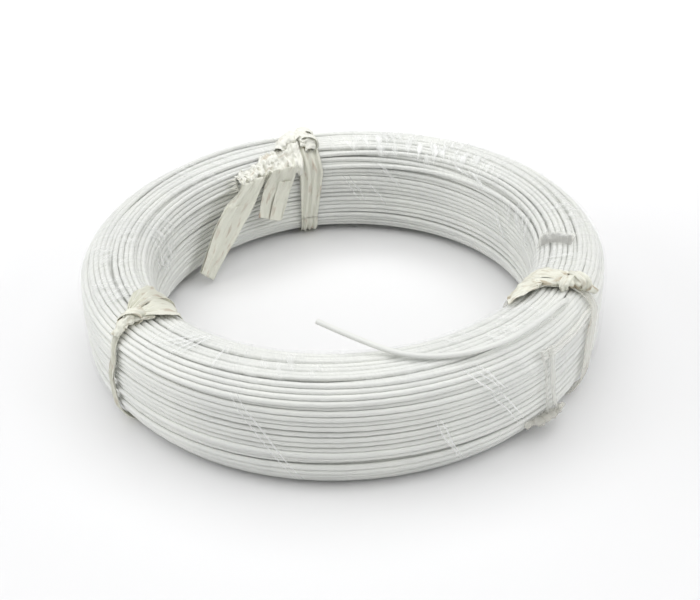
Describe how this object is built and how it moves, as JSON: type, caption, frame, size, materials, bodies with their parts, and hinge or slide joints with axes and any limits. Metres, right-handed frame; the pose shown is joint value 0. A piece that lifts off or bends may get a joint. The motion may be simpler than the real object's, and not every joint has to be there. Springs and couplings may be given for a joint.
{
  "type": "wire_coil",
  "caption": "Free-standing coil of white plastic-insulated copper wire, held by flat plastic tie strips and wrapped in clear stretch film, with one loose wire end",
  "frame": {"origin": "on the coil's axis, on the surface it stands on", "axes": "+Z is the coil's axis and points up, away from the surface; +X points right and -Y towards the side that the loose wire end lies on"},
  "size_m": [0.2, 0.2, 0.0483],
  "materials": {
    "wire_jacket": "white semi-gloss PVC insulation",
    "copper": "bright solid copper, cut square",
    "tie_strip": "cream split-film polypropylene strip, creased, with brown stains",
    "stretch_film": "clear stretch film, wrinkled"
  },
  "bodies": {
    "coil": {"wound_turns": "wire_jacket", "free_end_lying": "wire_jacket", "left_tie_band": "tie_strip", "left_tie_knot": "tie_strip", "left_tie_flat_end": "tie_strip", "rear_tie_band": "tie_strip", "rear_tie_knot": "tie_strip", "rear_tie_bunch": "tie_strip", "rear_tie_fray": "tie_strip", "right_tie_band": "tie_strip", "right_tie_knot": "tie_strip", "right_tie_tail": "tie_strip", "strip_scrap": "tie_strip", "stretch_film_front": "stretch_film", "stretch_film_right": "stretch_film", "stretch_film_left": "stretch_film"},
    "wire_end": {"free_end_jacket": "wire_jacket", "free_end_conductor": "copper"},
    "long_tail": {"rear_tie_long_tail": "tie_strip"},
    "short_tail": {"rear_tie_short_tail": "tie_strip"}
  },
  "joints": [
    {"name": "wire_end_lift", "type": "hinge", "parent": "coil", "child": "wire_end", "pos_m": [0.0195, -0.0846, 0.0438], "axis": [0.5073, 0.8618, 0], "range_deg": [0, 40]},
    {"name": "long_tail_swing", "type": "hinge", "parent": "coil", "child": "long_tail", "pos_m": [-0.0378, 0.05517, 0.035], "axis": [-0.6884, -0.7254, 0], "range_deg": [0, 70]},
    {"name": "short_tail_swing", "type": "hinge", "parent": "coil", "child": "short_tail", "pos_m": [-0.02418, 0.06291, 0.0375], "axis": [-0.9135, -0.4067, 0], "range_deg": [0, 70]}
  ]
}
